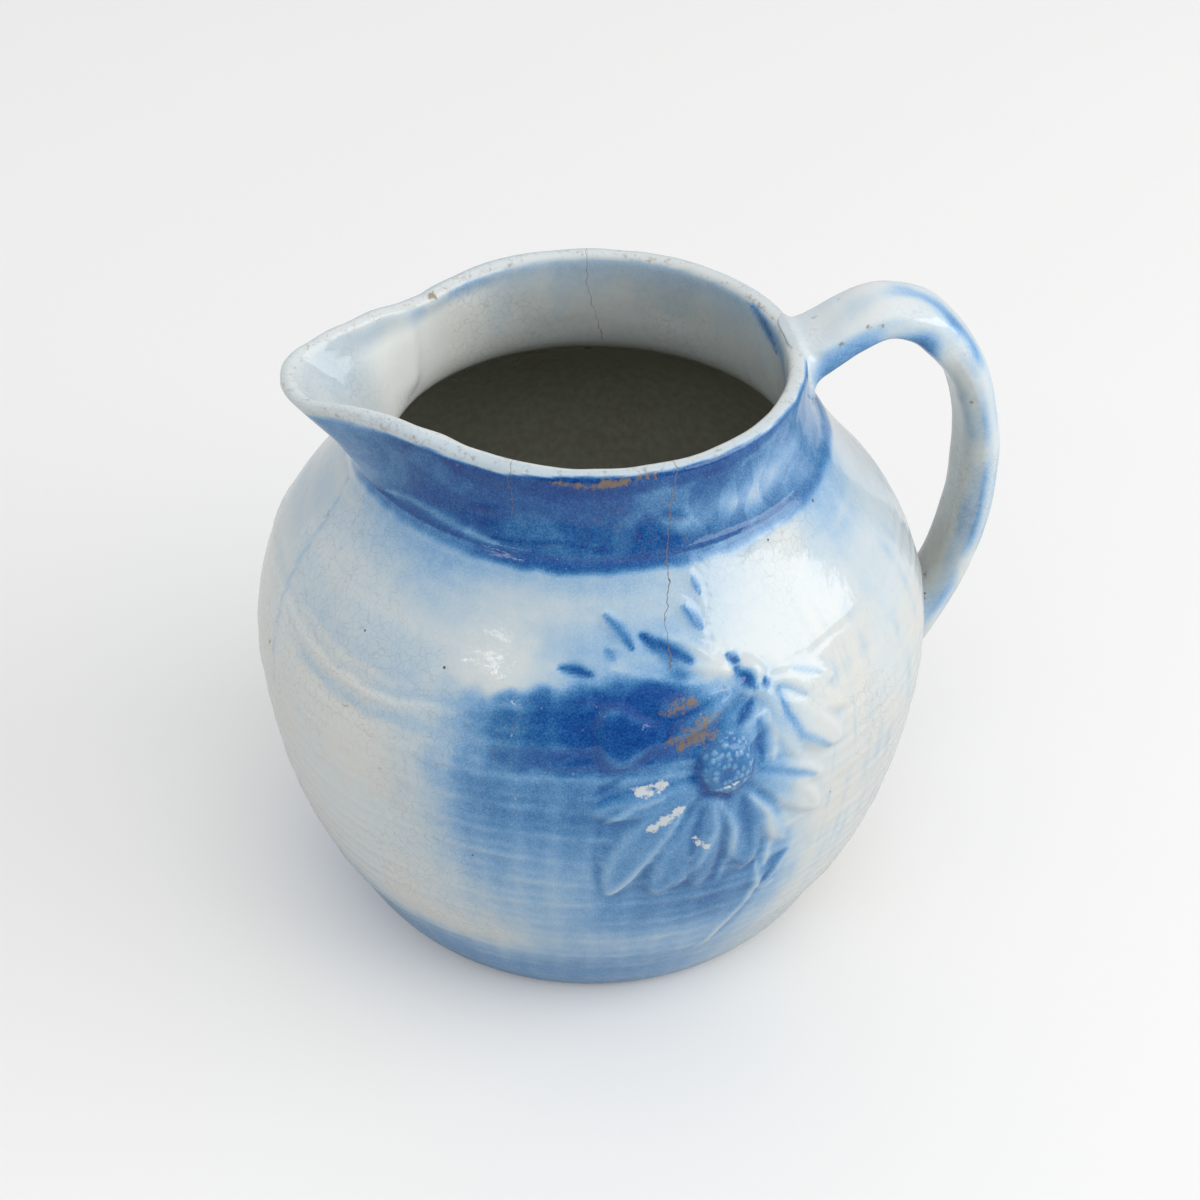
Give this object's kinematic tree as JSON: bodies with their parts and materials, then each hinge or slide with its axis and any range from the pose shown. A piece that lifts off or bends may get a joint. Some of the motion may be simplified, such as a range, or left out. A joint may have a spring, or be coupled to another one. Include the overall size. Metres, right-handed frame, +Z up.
{
  "type": "pitcher",
  "caption": "Round-bellied glazed stoneware milk pitcher with a collar, a pulled pouring lip, a strap handle and moulded daisy sprays on a ribbed belly.",
  "frame": {"origin": "centre of the flat base, on the belly's turning axis, in the plane that the base rests on", "axes": "+Z up along the turning axis, +X from the axis towards the handle, -X towards the pouring lip"},
  "size_m": [0.2014, 0.1852, 0.1725],
  "materials": {
    "white_glaze": "glossy",
    "blue_glaze": "glossy",
    "lip_glaze": "glossy",
    "handle_glaze": "glossy",
    "relief_glaze": "glossy"
  },
  "bodies": {
    "root": {"belly": "white_glaze", "collar": "blue_glaze", "pouring_lip": "lip_glaze", "handle": "handle_glaze", "upper_daisy_near": "relief_glaze", "upper_daisy_far": "relief_glaze", "lower_daisy_near": "relief_glaze", "lower_daisy_far": "relief_glaze", "round_leaf_near": "relief_glaze", "round_leaf_far": "relief_glaze", "slender_leaf_outer_near": "relief_glaze", "slender_leaf_outer_far": "relief_glaze", "slender_leaf_inner_near": "relief_glaze", "slender_leaf_inner_far": "relief_glaze", "fallen_leaf_near": "relief_glaze", "fallen_leaf_far": "relief_glaze"}
  },
  "joints": []
}
